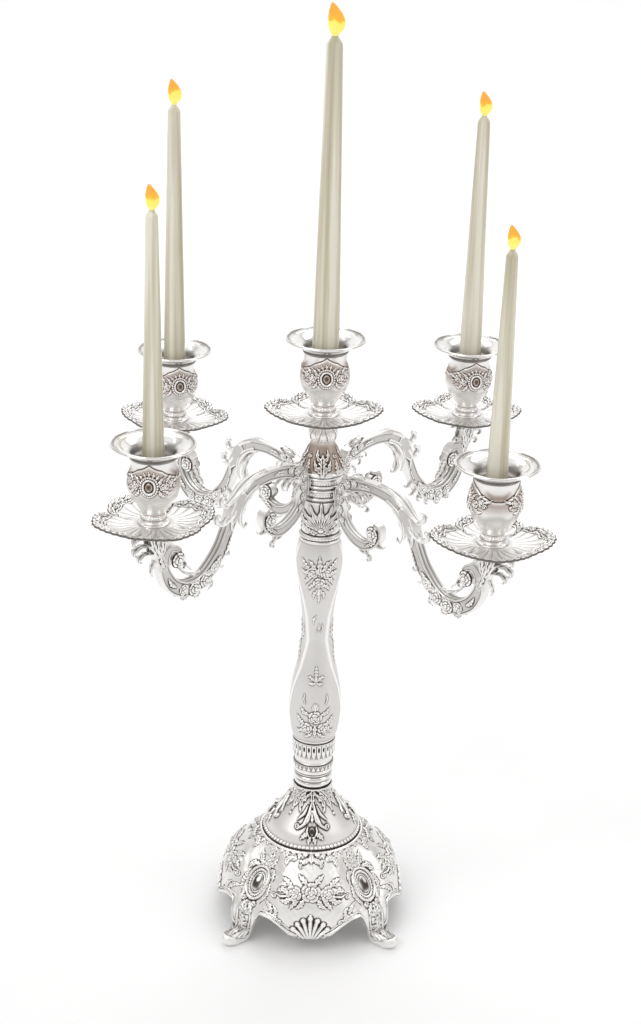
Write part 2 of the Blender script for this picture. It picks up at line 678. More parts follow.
def neck_relief(field):
    z = field.z - NECK_Z
    near = repeats(field, 8)
    # pointed leaves that hang from the top
    t = (z - 28) / 14.5
    width = np.clip(t, 0, 1) ** 0.8 * 0.92
    leafy = np.clip(1 - (near / np.maximum(width, 1e-3)) ** 2, 0, 1) ** 0.5
    rib = 0.35 * stripe(near, 0.14)
    field.h += ((t > 0) & (t < 1)) * (0.95 * leafy - 0.4 * rib * leafy)
    for f in facing(field, QUARTERS):
        f.motifs(leaves=[(0, 2, 0, 10, 0, 19, 4.0, 1.8, 5)])
        f.both(leaves=[(0, 4, 5, 8, 6.4, 14, 2.2, 1.5, 4), (1, 12, 4.2, 17, 3.6, 23, 1.6, 1.3, 3)])
    for f in facing(field, [FRONT + (j + 0.5) * math.pi / 2 for j in range(4)]):
        f.motifs(leaves=[(0, 2, 0, 8, 0, 14, 2.4, 0.9, 4)], curls=[(0, 17, 2.0, UP, 1, 0.8)])
    ring_of_beads(field, 29.5, 22, 0.8, 0.5)
    field.shade += 0.48 * ease(z, 2, 6) * (1 - ease(z, 22, 30))


def hub_relief(field):
    ring_of_beads(field, 6.0, 44, 0.8, 0.45)
    score(field, field.y, (0.4, 4.2, 8.0, 12.2), 0.5, 0.7)


DOME = smooth([[39.5, 0], [40.5, 1.5], [39, 3.2], [35.5, 11.5], [26.6, 21.5], [17, 33], [14.6, 39],
               [15.4, 44]])
RINGS = np.vstack([[[14.6, 0]], smooth([[15.2, 1], [15.7, 3], [15, 5]]),
                   smooth([[15.4, 6], [16.3, 8], [15.4, 10]]),
                   smooth([[15.5, 11], [16.5, 13.5], [16, 16.5]])])
FLUTES = np.vstack([[[16, 0], [16.4, 5.5]], smooth([[15.2, 6.5], [14.6, 9], [15.4, 12]], 4),
                    [[17.2, 12.5], [17.2, 25], [17.6, 26], [16.6, 27]]])
SHAFT = smooth([[17, 0], [19.5, 9], [21.4, 28], [19.4, 50], [15.4, 70], [12.6, 88], [12.1, 97],
                [13, 115], [15.8, 135], [18.4, 152], [18.9, 162], [17.8, 172], [15.6, 180.5]], 8)
CAPITAL = np.vstack([[[15.4, 0]], smooth([[16.6, 1.2], [16.6, 3], [15.4, 4.2]]),
                     smooth([[15.0, 5], [14.8, 12], [15.5, 22], [16.4, 31], [16.7, 34.5]])])
NECK = np.vstack([[[17.4, 0], [17.4, 1.5]],
                  smooth([[16.4, 2.5], [16.5, 6], [13.8, 14], [10, 23], [9.8, 26.5], [11.2, 32.5],
                          [9, 37], [9.4, 41]]), [[11.5, 43.5], [11.5, 45.5]]])
HUB = np.vstack([[[16.4, 0]], smooth([[17.4, 1], [17.4, 2.2], [16.4, 3]]),
                 smooth([[15.6, 3.6], [15.2, 5], [15.6, 6.4]]),
                 smooth([[16.4, 7], [17.4, 7.8], [17.4, 9], [16.4, 9.9]])])
add_turned("base_dome", "stand", DOME, [[13.2, 44], [12.4, 39], [24.4, 21.5], [36.8, 3.2], [37.3, 0]],
           dome_relief, LEDGE_Z, 560, 0.5, SATIN, gain=3.6)
add_turned("ring_collar", "stand", RINGS, [[13, 16.5], [11.6, 0]], collar_relief, RINGS_Z, 200, 0.3,
           BRIGHT, gain=2.0)
add_turned("flute_collar", "stand", FLUTES, [[13.6, 27], [12.3, 12], [13.4, 0]], flute_relief, FLUTES_Z,
           520, 0.3, reach=8)
add_turned("shaft", "stand", SHAFT, [[13.4, 180.5], [16.6, 162], [10, 97], [19, 28], [14.8, 0]],
           shaft_relief, SHAFT_Z, 420, 0.38, reach=7, gain=3.4)
add_turned("capital", "stand", CAPITAL, [[9, 34.5], [9, 54.5], [3.5, 54.5], [3.5, 0]], capital_relief,
           CAPITAL_Z, 340, 0.35)
add_turned("neck", "stand", NECK, [[3.05, 45.5], [3.05, 0]], neck_relief, NECK_Z, 300, 0.35, TONED)
for level, foot in HUB_Z.items():
    add_turned("hub_ring_" + level, level + "_branches", HUB, [[9.06, 9.9], [9.06, 0]], hub_relief, foot,
               260, 0.3, BRIGHT)


# ---- lights: pans, cups, nozzles, candles

PAN_R, PAN_SEAT, PAN_WALL, TIP_IN, NOTCH_IN = 46.5, 12.0, 1.5, 5.5, 5.0
NOTCH_RISE, LOBE_RISE, DIP = 1.8, 3.6, 1.5
CUP_TOP = 63.0
LIGHT_SIZES = {  # turn of the pan and of the cup, candle's foot and top radius and height, flame size
    "centre": (0, 3, 10.5, 6.0, 218, 1.0), "back_right": (0, 14, 9.2, 4.95, 183, 0.82),
    "back_left": (-13, 17, 9.2, 4.95, 195.5, 0.86), "front_left": (25, -6, 8.1, 4.3, 162, 0.77),
    "front_right": (0, 90, 8.0, 4.25, 151, 0.74)}


def pan_part():
    """A dish of four pointed lobes with curved veins, a chased floral border and a rolled edge."""
    n, m = 576, 96
    a = (np.arange(n) + 0.5) * 2 * np.pi / n
    lobe = (a + np.pi / 4) % (np.pi / 2) - np.pi / 4
    u = np.abs(lobe) / (np.pi / 4)
    edge = PAN_R - 0.5 - TIP_IN * u ** 0.85 - NOTCH_IN * u ** 4
    scallop = np.abs(np.sin(a * 24))
    rise = NOTCH_RISE + LOBE_RISE * (1 - u ** 4)
    t = np.linspace(0, 1, m)
    cut_in = (1.5 * (1 - scallop))[:, None] * ease(t, 0.88, 1)[None]
    r = PAN_SEAT + (edge[:, None] - cut_in - PAN_SEAT) * t[None]
    z = PAN_WALL + rise[:, None] * t[None] ** 1.5 - DIP * np.sin(np.pi * t)[None]
    field = Relief(lobe[:, None] * r, r * np.cos(lobe)[:, None])
    # veins that open from the foot of each lobe and bend out to its sides
    q = lobe[:, None] / (np.pi / 4)
    down = edge[:, None] - r
    spread = q * (1.35 - 0.75 * t[None] + 0.35 * t[None] ** 3)
    vein = np.abs(np.cos(np.pi * 3.5 * spread)) ** 1.2
    field.h += 0.5 * vein * (ease(t, 0.03, 0.2)[None] * ease(down, 7.2, 9.5))
    valley = stripe((1 - np.abs(q)) * r * 0.785, 1.3)
    field.h -= 1.0 * valley * ease(t, 0.05, 0.4)[None]
    # border: a wavy line on a grained ground, then roses and leaves round each lobe
    band = down - 8.4 + 1.0 * np.cos(q * np.pi * 5)
    field.h += 0.6 * bump(band, 0.7)
    grain = np.sin(lobe[:, None] * r * 2.9) * np.sin(r * 3.1)
    field.h += 0.16 * grain * (band < -0.6) * (down > 1.5)
    along_edge = np.cumsum(np.r_[0, np.hypot(np.diff(edge * np.cos(a)), np.diff(edge * np.sin(a)))])
    per_lobe = along_edge[-1] / 4
    border = Relief(np.repeat((along_edge[:, None] + per_lobe / 2) % per_lobe - per_lobe / 2, m, 1), down)
    border.motifs(roses=[(0, 5.0, 2.9, 1.7, 0)])
    border.both(leaves=[(2.6, 4.6, 6, 3.4, 9.5, 4.6, 1.7, 1.2, 4),
                        (3, 6.4, 6, 7.2, 8.6, 6.6, 1.1, 1.0, 3),
                        (14.4, 4.4, 18, 3.2, 21, 4.8, 1.6, 1.2, 4),
                        (26, 4.2, 29, 4.0, 32.4, 6.0, 1.6, 1.2, 4)],
                roses=[(12.2, 4.6, 2.6, 1.5, 1)], curls=[(23.6, 4.6, 2.3, 0, 1, 1.3)],
                beads=[(16.4, 6.8, 0.9, 0.9), (9.4, 7.0, 0.9, 0.9)])
    field.h += border.h
    field.h += 0.7 * scallop[:, None] * bump(down - 1.5, 1.2)
    field.h[:, -1] = 0
    field.h *= ease(t, 0.0, 0.04)[None]
    nz, nr = np.gradient(r, axis=1), -np.gradient(z, axis=1)
    ln = np.hypot(nz, nr)
    # rolled edge and plain underside
    lip = np.linspace(0, np.pi, 9)[1:]
    back = np.linspace(1, 0, 26)[1:]
    hole, one = 2.6, np.ones((n, 1))
    rr = np.hstack([one * hole, r + nr / ln * field.h, r[:, -1:] + 0.75 * np.sin(lip)[None],
                    PAN_SEAT + (edge[:, None] - PAN_SEAT) * back[None], one * hole])
    zz = np.hstack([one * PAN_WALL, z + nz / ln * field.h, z[:, -1:] - 0.75 + 0.75 * np.cos(lip)[None],
                    rise[:, None] * back[None] ** 1.5 - DIP * np.sin(np.pi * back)[None], one * 0])
    cav = np.zeros(rr.shape)
    cav[:, 1:m + 1] = cavity(field.h, 6, 5.2) + 0.12
    cav[:, m + 1:m + 9] = 0.85
    cav[:, m + 9:-1] = 0.25
    part = Part()
    part.grid(turned(rr, zz, a), cav=cav, flip=True)
    return part


def cup_relief(field):
    middle = 40.0
    for f in facing(field, FRONT_AND_BACK):
        # a medallion in a ring of leaf tips, with garlands beside it
        f.cabochon(0, middle, 2.7, 3.4, 1.4)
        f.shade += 0.75 * oval_patch(f.x, f.y - middle, 2.4, 3.0)
        f.oval(0, middle, 4.2, 5.0, 0.9, 1.4)
        f.oval(0, middle, 6.0, 6.9, 0.9, 1.3, beads=24)
        for k in range(9):
            b = math.pi * (0.02 + 0.96 * k / 8)
            f.leaf([(7.0 * math.cos(b), middle + 7.8 * math.sin(b)),
                    (8.8 * math.cos(b), middle + 9.9 * math.sin(b)),
                    (9.9 * math.cos(b + 0.05), middle + 11.4 * math.sin(b + 0.05))], 0.95, 1.0, lobes=2)
        f.both(leaves=[(7, 41, 8.2, 45, 11, 47.5, 1.4, 1.3, 3),
                       (12.5, 43.4, 14, 46.4, 17, 47.6, 1.4, 1.2, 3),
                       (12, 36.6, 15, 34.4, 18.5, 35.5, 1.5, 1.2, 4),
                       (18.4, 43, 21.4, 43.6, 23.6, 46, 1.4, 1.2, 3),
                       (7.4, 37, 9, 33.5, 12.5, 32, 1.4, 1.2, 3)],
               roses=[(11.2, 39.6, 3.3, 1.8, 1),
                      (16.2, 41.8, 2.9, 1.6, 2)], curls=[(20.0, 39.6, 1.8, 0, 1, 1.1)])
    # a pointed arch over each medallion, with the plain wall sunk above it
    near = np.abs((field.a - FRONT + np.pi / 2) % np.pi - np.pi / 2) / (np.pi / 2)
    arch = 53.2 + 2.6 * (1 - near) ** 6 - 4.4 * (1 - np.cos(np.pi * near)) - 0.6 * np.abs(np.sin(near * 9))
    below = ease(arch - field.y, -0.3, 0.5)
    field.h += 0.75 * below * ease(field.y, 40, 46)
    field.shade += 0.38 * below * ease(field.y, 30, 42) - 0.05 - 0.2 * (1 - ease(field.y, 22, 33))
    field.shade += 0.5 * stripe(field.y - arch - 0.5, 0.5)
    field.shade += 0.55 * ease(near, 0.5, 0.8) * stripe(field.y - arch - 3, 2.6) * (1 - below)
    ring_of_beads(field, 8.6, 26, 0.9, 0.6)
    for at in (2.9, 6.9):
        field.shade += 0.85 * stripe(field.z - PAN_WALL - at, 0.5)


CUP = np.vstack([[[11.6, 0], [11.6, 1]], smooth([[9.8, 1.8], [8.6, 2.8]], 3),
                 smooth([[9.2, 3.4], [9.7, 4.8], [9.0, 6.2]]),
                 smooth([[7.8, 7.4], [9.7, 10.5], [13.7, 16.2], [17.3, 21.9], [18.9, 27], [19.3, 31],
                         [18.6, 36], [17, 42], [16.4, 46.5], [16.8, 50.5]])])
CUP_IN = [[15.1, 50.5], [14.7, 46.5], [15.2, 42.5], [16.8, 36.5], [17.5, 31], [16.3, 24.5], [13.2, 19.5],
          [7, 16.5], [3.3, 16.5], [3.3, 0]]
NOZZLE = np.vstack([[[0.05, -35.5], [12.7, -35.5], [12.7, -13.5], [14.7, -12.5], [14.7, -11], [17, -11]],
                    smooth([[17.0, -10.9], [17.7, -10.3], [17.6, -9.6], [17, -9]]),
                    smooth([[17.2, -8.6], [18.5, -8.1], [22, -5.4], [26, -3.2], [29.4, -2.1]], 10),
                    smooth([[29.6, -2.0], [30.6, -1.9], [31, -1], [30.5, -0.1], [29.7, 0], [29.1, -0.8]]),
                    smooth([[28.9, -1.3], [28.3, -1.5], [27.7, -0.9], [27.0, -1.6]]),
                    smooth([[26, -2.0], [22, -3.0], [17.8, -5.0], [15.9, -6.8]], 10),
                    smooth([[15.3, -8.7], [14.2, -10.8], [11.3, -12.0]], 8),
                    [[11.3, -34], [0.05, -34]]])


def nozzle_part():
    """A socket tube and a dish with a rolled rim, dark in the throat and in the groove by the rim."""
    a = angles_round(160)
    r, z = NOZZLE[None, :, 0], NOZZLE[None, :, 1]
    throat = 0.9 * ease(-z, 4.0, 8.0) * (r < 18)
    groove = 0.9 * stripe(r - 28.8, 0.45) * (z > -1.9)
    part = Part()
    part.grid(turned(r, z, a), cav=np.repeat(throat + groove, len(a), 0))
    return part


def candle_part(foot, top, high):
    """A taper with a dished shoulder; it sits in its nozzle on a straight butt."""
    k = top / 6
    line = np.vstack([[[9.8, -32], [10.9, -32], [10.9, -12.6]], [[foot, -12.5]],
                      resample([[foot, -12.4], [top + 0.05, high - 1.2 * k]], 40),
                      smooth([[top, high - 0.4 * k], [top * 0.93, high + 1.4 * k],
                              [top * 0.72, high + 3.6 * k], [top * 0.45, high + 5.6 * k],
                              [2.3, high + 6.7 * k]]),
                      [[1.7, high + 6.7 * k], [1.7, high - 1], [top - 1.5, high - 4], [5.5, 80],
                       [5.5, -29], [9.8, -29]]])
    a = angles_round(72)
    uneven = 1 + 0.004 * np.cos(3 * a)[:, None] * np.sin(line[None, :, 1] * 0.05)
    part = Part()
    part.grid(turned(line[None, :, 0] * uneven, line[None, :, 1], a))
    return part


def flame_part(size, base):
    """A moulded flame whose point leans over, with faint upright flutes."""
    tall, lean = 23.5, 0.35
    line = smooth([[0.05, 0], [2.2, 0.05], [2.9, 1.2], [5.2, 4.2], [6.2, 8.5], [5.7, 13.2], [3.9, 18.0],
                   [1.6, 22.0], [0.05, tall]], 8)
    a = angles_round(64)
    t = np.clip(line[:, 1] / tall, 0, 1)
    r = line[None, :, 0] * (1 + 0.05 * np.cos(5 * a[:, None] + 5 * t[None]) * np.sin(np.pi * t)[None])
    squeeze = 1 - 0.16 * np.sin(np.pi * np.clip(t * 1.1 - 0.1, 0, 1))
    x = r * np.cos(a)[:, None] + (0.9 * np.sin(np.pi * t * 1.25) - 2.0 * t ** 3)[None]
    y = r * np.sin(a)[:, None] * squeeze[None]
    c, s = math.cos(lean), math.sin(lean)
    p = np.stack([x * c - y * s, x * s + y * c, np.repeat(line[None, :, 1], len(a), 0)], 2) * size
    p[:, :, 2] += base
    part = Part()
    part.grid(p, wrap_v=False)
    return part


PAN, NOZZLE_PART = pan_part(), nozzle_part()
CUP_PART = revolved(CUP, CUP_IN, cup_relief, columns=420, step=0.36, reach=6, gain=3.8)
for i, name in enumerate(LIGHTS):
    pan_turn, cup_turn, foot, top, high, size = LIGHT_SIZES[name]
    x, y, z, body = 0, 0, CENTRE_PAN_Z, "stand"
    if name in PAIR_OF:
        aim, level = math.radians(90 * i - 45), PAIR_OF[name]
        x, y, z = REACH * math.cos(aim), REACH * math.sin(aim), HUB_Z[level] + SEAT_H
        body = level + "_branches"
    rim = (x, y, z + CUP_TOP)
    PAN.build("drip_pan_" + name, SILVER, body, math.radians(pan_turn), (x, y, z))
    CUP_PART.build("candle_cup_" + name, TONED, body, math.radians(cup_turn), (x, y, z + PAN_WALL))
    NOZZLE_PART.build("nozzle_" + name, BRIGHT, "nozzle_" + name, 0, rim)
    candle = candle_part(foot, top, high)
    candle.build("candle_" + name, WAX, "candle_" + name, 0.3 * i, rim, "pearl_wax")
    flame_tip = flame_part(size, high + 6.7 * top / 6)
    flame_tip.build("flame_tip_" + name, FLAME, "candle_" + name, 0, rim, "flame_plastic")


# ---- base

LEDGE_R, EDGE_Z, ARCH_Z, INSTEP_Z, WALL = 41.5, 15.0, 27.0, 9.5, 2.2
GEM_S, HEEL_R = 35.5, 83
FACE_LINE = smooth([[0, 77], [19, 77], [40, 72], [58, 61], [LEDGE_Z, LEDGE_R]], 12)
CORNER_LINE = smooth([[0, 82], [12, 80.5], [25, 77], [36, 68], [48, 59], [60, 50], [LEDGE_Z, LEDGE_R]], 12)
TOE = smooth([[86, 9.2], [90.5, 7.2], [94, 7.6], [97, 9.4], [99.6, 8.9], [101, 6], [100, 2.6], [97, 0.4],
              [94, 0], [HEEL_R, 0]])


def skirt_edge_z(a):
    """Height of the lower edge: arched between the legs, and down on the table at them."""
    return EDGE_Z + (ARCH_Z - EDGE_Z) * ease(a, 8, 28) - ARCH_Z * ease(a, 32.5, 41)


def skirt_r(a, z):
    """Distance of the skirt from the axis, between the lines of a face and of a corner."""
    square = np.cos(np.radians(a)) ** (-0.36 * ease(LEDGE_Z - z, 20, 55))
    corner = ease(a, 18, 42)
    return (np.interp(z, FACE_LINE[:, 0], FACE_LINE[:, 1]) * square * (1 - corner)
            + np.interp(z, CORNER_LINE[:, 0], CORNER_LINE[:, 1]) * corner)


def face_relief(x, s):
    """Roses in leaves on the middle of a face, a garland above and a palmette below. x runs across the
    face from its middle, s down the skirt from the ledge."""
    f = Relief(x, s)
    f.motifs(roses=[(0, 34.5, 8.2, 3.2, 0.8)], leaves=[(0, 3, 0, 7, 0, 11, 2.6, 1.7, 3)],
             beads=[(0, 74.5, 2.8, 2.6), (0, 53.5, 1.2, 1.2)])
    f.both(leaves=[(3.6, 28, 7, 23.5, 10.5, 20, 2.6, 1.8, 3), (16, 30.5, 20, 26, 24, 24.5, 2.6, 1.8, 4),
                   (19, 35.5, 23, 34, 28, 36, 2.8, 1.8, 4), (17, 41, 21, 43.5, 26, 43, 2.4, 1.7, 4),
                   (6, 41, 8.5, 45, 12.5, 48, 2.3, 1.7, 4), (11, 42, 15, 45.5, 18, 50, 1.9, 1.5, 3),
                   # hanging garland under the ledge
                   (1.5, 6, 6, 9.5, 11, 8, 2.6, 1.7, 5), (16.5, 6, 20, 10, 21, 15, 2.4, 1.7, 4),
                   # beside the palmette
                   (13.5, 71.0, 18, 69.5, 22, 65.5, 2.3, 1.6, 4),
                   (27, 59.5, 33, 56.5, 39, 56, 2.6, 1.6, 5),
                   (32, 54, 34, 48.5, 38, 45, 2.2, 1.5, 4), (29, 57, 28.5, 52, 31, 48, 1.8, 1.4, 4)],
           roses=[(14.2, 36, 6.6, 2.8, 1), (14.6, 6.6, 3.0, 1.8, 1)], buds=[(22.6, 30, 2.2, 0)],
           lines=[(19, 38.8, 25, 40, 29.5, 38, 0.8, 1.1)],
           curls=[(29.8, 40, 2.2, DOWN, 1, 1.3), (8.6, 12.6, 2.0, 0, -1, 1.3),
                  (10.6, 71, 2.6, math.pi, 1, 1.8), (25.0, 60.8, 2.2, 0, -1, 1.4)])
    # a row of small leaf tips under the ledge
    for k in range(-6, 7):
        f.leaf([(k * 4.9, 1.2), (k * 4.9, 3.4), (k * 5.1, 7.4 - 2.2 * (k % 2))], 1.9, 1.3, lobes=2)
    for k in range(-3, 4):
        aim = -math.pi / 2 + 0.31 * k
        long = 19.5 - 0.9 * abs(k)
        c, d = math.cos(aim), math.sin(aim)
        f.line([(long * q * c, 76 + long * q * d) for q in (0.2, 0.6, 1)], 1.5, 2.2, taper=False)
        f.bead((long + 0.6) * c, 76 + (long + 0.6) * d, 2.2, 2.6)
    return f.h


def corner_relief(x, s):
    """An oval cartouche on the corner, leaves above and below it, and an acanthus leaf down the leg."""
    f = Relief(x, s)
    f.oval(0, GEM_S, 10.6, 14.0, 1.2, 2.2)
    f.oval(0, GEM_S, 7.8, 11.0, 1.1, 1.9, beads=28)
    f.oval(0, GEM_S, 5.7, 8.3, 0.6, 1.0)
    f.cabochon(0, GEM_S, 5.0, 7.4, 3.4)
    f.motifs(leaves=[(0, 21, 0, 13, 0, 4, 2.7, 2.2, 5), (0, 65, 0, 75, 0, 87, 4.2, 1.9, 6),
                     (0, 88, 0, 95, 0, 103, 2.6, 1.5, 3)], roses=[(0, 19.0, 3.0, 2.3, 0)])
    f.both(leaves=[(2, 21, 7, 16.5, 9, 9, 2.9, 2.1, 5), (6, 22, 12.0, 23, 14.5, 30, 2.6, 2.0, 5),
                   (13.0, 33, 14.4, 41, 11, 49, 2.3, 1.8, 6), (1.5, 19, 3.4, 12, 2.6, 6, 1.9, 1.7, 4),
                   (1.5, 53, 5.5, 58, 7.5, 65, 2.2, 1.9, 5)],
           curls=[(13.2, 26.5, 2.1, 0, 1, 1.6), (6.0, 52.4, 2.4, 0, 1, 1.9), (4.4, 72, 2.0, 0, -1, 1.4),
                  (4.0, 94, 2.0, 0, 1, 1.2)])
    for k in range(-2, 3):
        aim = -math.pi / 2 + 0.5 * k
        f.leaf([(d * 9 * math.cos(aim), 64 + d * 9.5 * math.sin(aim)) for d in (0.15, 0.6, 1)], 1.8, 2.3,
               lobes=2)
    return f.h


def skirt_part():
    """Four faces and corners that end in scroll feet; a is the angle from a face's middle in degrees."""
    half, crowd, m_out, n_under, n_relief = 128, 1.28, 128, 22, 16
    u = (np.arange(2 * half) - half) / half
    a_face = np.sign(u) * 45 * (1 - (1 - np.abs(u)) ** crowd)
    a = np.abs(a_face)
    low = skirt_edge_z(a)
    leg = ease(a, 36.5, 41.5)
    t = np.linspace(0, 1, m_out)
    z = LEDGE_Z - (LEDGE_Z - low - INSTEP_Z * leg)[:, None] * t[None]
    r = skirt_r(a[:, None], z)
    thick = WALL * (1 + ease(t, 0.5, 1)[None] * leg[:, None])
    rows = (np.linspace(0, 1, n_under) * (m_out - 1)).astype(int)
    ru = r[:, rows] - thick[:, rows]
    zu = np.minimum(z[:, rows], LEDGE_Z - WALL)
    zu[:, -1] = low
    # the toe is round in plan and its top falls off to the sides
    share = ((np.arange(len(TOE)) + 1) / (len(TOE) + 1))[None]
    aside = np.clip((45 - a) / 4.4, 0, 1)
    blunt = np.sqrt(np.clip(1 - aside ** 2.4, 0, 1))[:, None]
    toe_r = HEEL_R + (TOE[None, :, 0] - HEEL_R) * (0.34 + 0.66 * blunt)
    toe_z = TOE[None, :, 1] * (0.62 + 0.38 * blunt)
    on_leg = leg[:, None]
    toe_r = (r[:, -1:] + (ru[:, -1:] - r[:, -1:]) * share) * (1 - on_leg) + toe_r * on_leg
    toe_z = (z[:, -1:] + (zu[:, -1:] - z[:, -1:]) * share) * (1 - on_leg) + toe_z * on_leg
    one = np.ones((len(a), 1))
    rr = np.hstack([one * 30, one * 36, r, toe_r, ru[:, ::-1], one * 30])
    zz = np.hstack([one * LEDGE_Z, one * LEDGE_Z, z, toe_z, zu[:, ::-1], one * (LEDGE_Z - WALL)])
    # relief coordinates: down the line and across it
    ds = np.hypot(np.diff(rr, axis=1), np.diff(zz, axis=1))
    s = np.hstack([np.zeros((len(a), 1)), np.cumsum(ds, axis=1)])
    s = s - s[:, 2:3]
    on = slice(2, 2 + m_out + n_relief)
    x_face = rr * np.sin(np.radians(a_face))[:, None]
    x_corner = rr * np.radians(45 - a)[:, None] * -np.sign(a_face + 1e-9)[:, None]
    h = np.zeros(rr.shape)
    h[:, on] = np.maximum(face_relief(x_face[:, on], s[:, on]), corner_relief(x_corner[:, on], s[:, on]))
    # raised rim along the bottom edge and ribs down the leg
    from_edge = s[:, 1 + m_out][:, None] - s
    h = np.maximum(h, 1.1 * bump(from_edge - 1.6, 1.5) * (1 - on_leg))
    h = np.maximum(h, 0.5 * bump(from_edge - 4.6, 0.7) * (1 - on_leg))
    leg_edge = np.abs(x_corner) - (7.4 - 1.2 * ease(s, 60, 88))
    h[:, on] = np.maximum(h[:, on], (0.9 * bump(leg_edge, 1.2) * ease(s, 60, 66))[:, on])
    h[:, on] = np.maximum(h[:, on], (0.9 * bump(s - 1.3, 1.0))[:, on])
    h -= (1.8 * aside ** 3)[:, None] * ease(s, 58, 70) * on_leg
    h[:, :2] = 0
    h[:, on.stop + 2:] = 0
    waves = hammered(x_face, s, 0.10, 11) * ease(zz, 16, 24) * (1 - ease(zz, 66, 71))
    # the ground is bright between dark outlines, and each cabochon is dark with one bright side
    cav = cavity(h, 5, 4.4)
    cav = cav - 0.22 * (1 - np.abs(cav)) * (zz > 20)
    gem = np.exp(-(x_corner / 4.4) ** 6 - ((s - GEM_S) / 6.4) ** 6)
    shine = bump(np.hypot((x_corner - 0.9) / 1.6, (s - 32.6) / 2.6), 1)
    cav = cav * (1 - gem) + gem * (0.95 - 1.4 * shine)
    p = np.concatenate([turned(rr, zz, np.radians(a_face) + face * np.pi / 2) for face in range(4)])
    p = p - grid_normals(p) * np.tile(h + waves, (4, 1))[:, :, None]
    p[:, :, 2] = np.maximum(p[:, :, 2], 0.0)
    part = Part()
    part.grid(p, cav=np.tile(cav, (4, 1)), flip=True)
    return part


skirt_part().build("base_shell", SATIN, "stand", FRONT)


# ---- branches
# Drawn along +X from the hub, with heights from the bottom of the branch's own ring.

ARM_HALF = 4.4
EYES = ((REACH - 20, SEAT_H - 33), (58.5, -14.5))
S_SCROLL = [[24, 15, 5.5], [42, 20.5, 4.9], [62, 22, 4.5], [82, 17.5, 4.8], [94, 6, 4.7], [102, -12, 4.3],
            [111, -28, 4.8], [REACH - 46, SEAT_H - 57, 5.6], [REACH - 30, SEAT_H - 60, 6.2],
            [REACH - 16, SEAT_H - 53, 6.0], [REACH - 8, SEAT_H - 40, 5.0], [REACH - 8.5, SEAT_H - 29, 3.8],
            [REACH - 13, SEAT_H - 23.5, 3.0], [REACH - 19, SEAT_H - 24, 2.6],
            [REACH - 23.5, SEAT_H - 29, 2.2]]
C_SCROLL = [[22.4, 4, 3.4], [25, -12, 3.6], [34, -22, 3.9], [46, -27, 4.1], [57, -24, 3.6], [64, -16, 2.9],
            [63.5, -9, 2.3], [58, -7, 1.8]]
BRACKET = [[REACH - 10, SEAT_H - 40, 3.0], [REACH - 5, SEAT_H - 30, 4.2], [REACH - 1, SEAT_H - 16, 4.0],
           [REACH, SEAT_H - 3, 4.8]]
ROOT = [[21.2, -5, 2.6], [22.2, 5, 4.1], [24.5, 13, 4.8], [30, 18.5, 3.6]]
ROOT_PLATE = [[19.4, 1.0, 2.9], [19.6, 5, 3.0], [19.4, 9.0, 2.9]]
# leaves across the branch: path as x, z, x, z ..., then half width and thickness
SHOULDER_LEAVES = (  # along the top, each ending in a curl that stands off the arm
    (60, 26.2, 74, 24.8, 86, 19.8, 95, 12.6, 102, 8.6, 106.6, 10.6, 107, 15, 103, 15.6, 5.6, 4.4),
    (84, 16, 94, 7.5, 101, -1, 106, -4.6, 111.4, -2.8, 111.8, 1.6, 108, 2.2, 5.8, 4.4))
EDGE_LEAVES = (
    # on the inner side of the arm, and bits of leaf along its lower edge
    (72, 15, 81, 8, 86, 0, 87.6, -8, 85.4, -12.6, 82, -13, 81, -10.2, 3.6, 2.4),
    (106, -27, 103, -30.5, 99.5, -31.2, 98.4, -28.8, 2.6, 1.4),
    (112, -36, 108, -39.5, 104, -39.4, 2.4, 1.3),
    (28, 15, 36, 13.5, 42, 9.5, 43, 5.4, 40.6, 4.2, 3.2, 1.5),
    (36, 16, 45, 15, 50, 11.6, 49.6, 8.8, 2.8, 1.4),
    (30, 23.5, 36, 27, 42, 28, 46, 25.6, 3.6, 1.5),
    # round the two scroll eyes
    (152, -23, 148, -29, 142, -34.5, 134, -37, 127, -36.5, 3.6, 2.2),
    (150, -18, 146, -21, 143, -26, 144.5, -30, 3.0, 1.6),
    (146, -26, 141, -29, 137, -33, 2.8, 1.5),
    (58, -20, 62, -24, 67, -25, 70, -22, 3.4, 1.6),
    (48, -30, 51, -34, 55, -37.5, 53, -40, 50.6, -38.6, 2.8, 1.5),
    (42, -29, 45, -33.5, 50, -35, 2.4, 1.3),
    # under the pan
    (172, 2, 179, 6.2, 186, 7.4, 191.4, 5.4, 192.4, 2.2, 189.4, 1.2, 4.6, 2.0),
    (172, -5, 179, -1.4, 186, -0.6, 191.4, -2.6, 192, -5.8, 189, -6.6, 4.6, 2.0),
    (171, -12, 176, -8.6, 182, -7.2, 186.6, -9.0, 187.2, -12.2, 184.4, -12.8, 4.2, 1.9),
    (170, -12, 174, -17, 176.4, -22.6, 174.4, -27.4, 3.0, 1.7),
    (172, 0, 166, 5.6, 159.6, 8.6, 154.6, 7.4, 4.4, 1.8),
    (171, -8, 165.6, -4, 160, -2.4, 156.6, -4.6, 3.4, 1.5))
